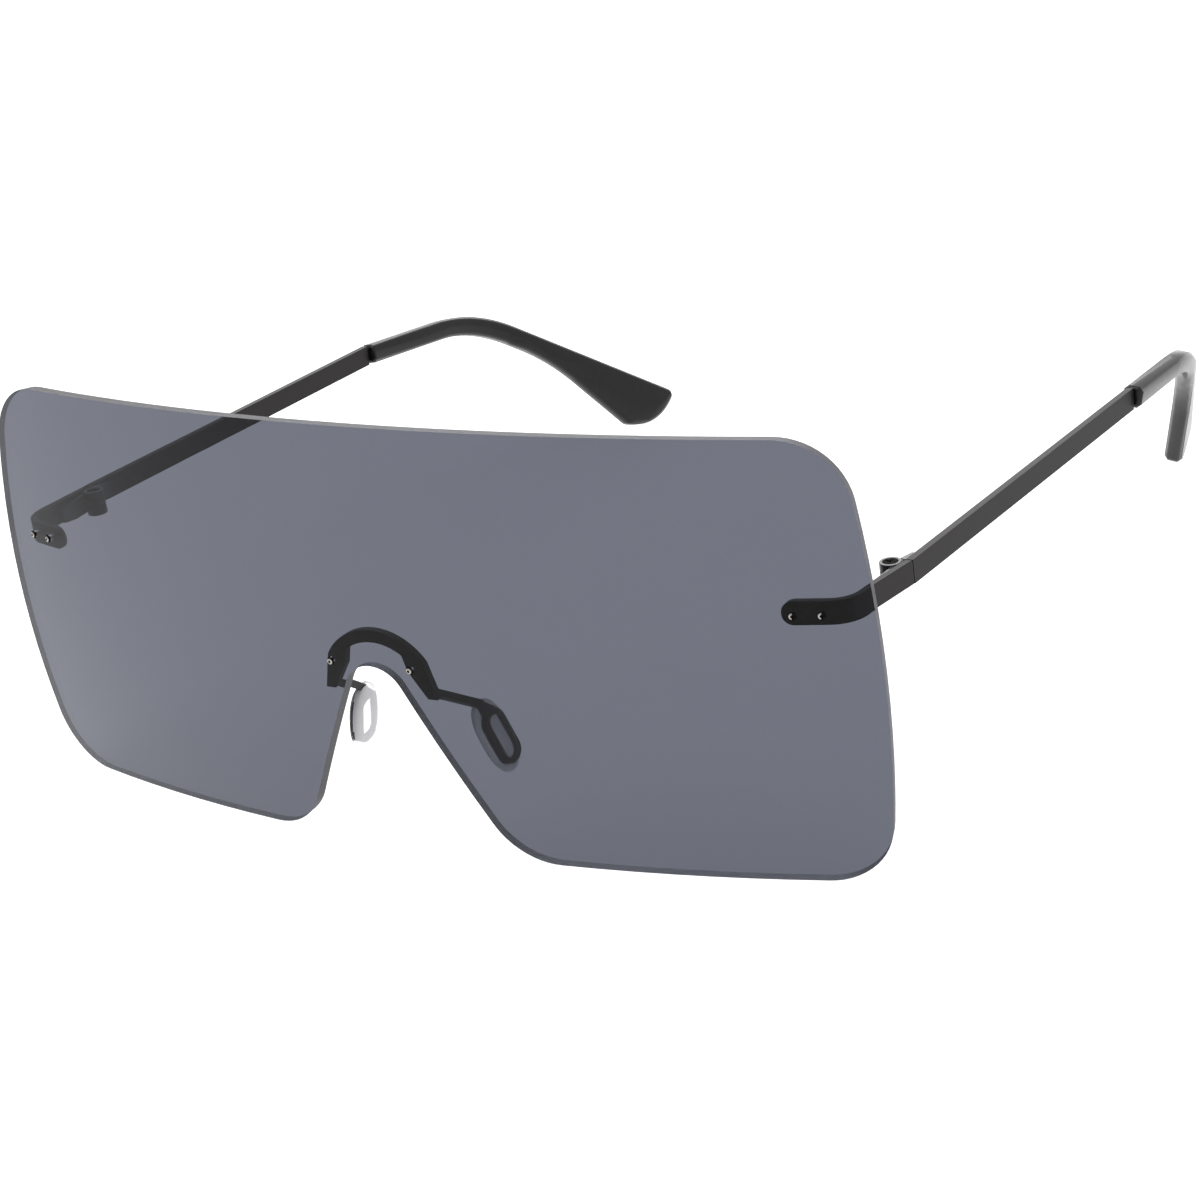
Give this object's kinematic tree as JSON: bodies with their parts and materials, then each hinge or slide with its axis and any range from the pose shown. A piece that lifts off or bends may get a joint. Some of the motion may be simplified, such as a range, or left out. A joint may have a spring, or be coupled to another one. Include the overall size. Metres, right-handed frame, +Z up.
{
  "type": "shield sunglasses",
  "caption": "Frameless shield sunglasses with a curved smoke lens notched for the nose, a bridge bracket with soft pads, and slim metal temples that fold on screw hinges and end in flared tips.",
  "frame": {"origin": "on the table under the middle of the open glasses: halfway across, and halfway between the front of the bridge screws and the back of the tips", "axes": "+X to the wearer's left, +Y back along the temples away from the lens, +Z up"},
  "size_m": [0.1388, 0.1658, 0.0603],
  "materials": {
    "smoke_lens": "gloss, tinted smoke grey right through",
    "gunmetal": "satin gunmetal plating",
    "bright_steel": "polished heads",
    "hinge_steel": "blackened",
    "clear_sleeve": "clear",
    "clear_silicone": "clear, soft",
    "black_acetate": "gloss"
  },
  "bodies": {
    "front": {"bridge_bracket": "gunmetal", "bridge_bushings": "clear_sleeve", "bridge_screws": "bright_steel", "end_piece_bushings_left": "clear_sleeve", "end_piece_bushings_right": "clear_sleeve", "end_piece_left": "gunmetal", "end_piece_right": "gunmetal", "end_piece_screws_left": "bright_steel", "end_piece_screws_right": "bright_steel", "hinge_front_leaf_left": "gunmetal", "hinge_front_leaf_right": "gunmetal", "hinge_screw_left": "hinge_steel", "hinge_screw_right": "hinge_steel", "nose_pad_left": "clear_silicone", "nose_pad_right": "clear_silicone", "shield_lens": "smoke_lens"},
    "temple_left": {"temple_left": "gunmetal", "temple_tip_left": "black_acetate", "hinge_temple_leaf_left": "gunmetal"},
    "temple_right": {"temple_right": "gunmetal", "temple_tip_right": "black_acetate", "hinge_temple_leaf_right": "gunmetal"}
  },
  "joints": [
    {"name": "temple_left_hinge", "type": "hinge", "parent": "front", "child": "temple_left", "pos_m": [0.06436, -0.05789, 0.0362], "axis": [0, 0, 1], "range_deg": [0, 88]},
    {"name": "temple_right_hinge", "type": "hinge", "parent": "front", "child": "temple_right", "pos_m": [-0.06436, -0.05789, 0.0362], "axis": [0, 0, -1], "range_deg": [0, 80]}
  ]
}
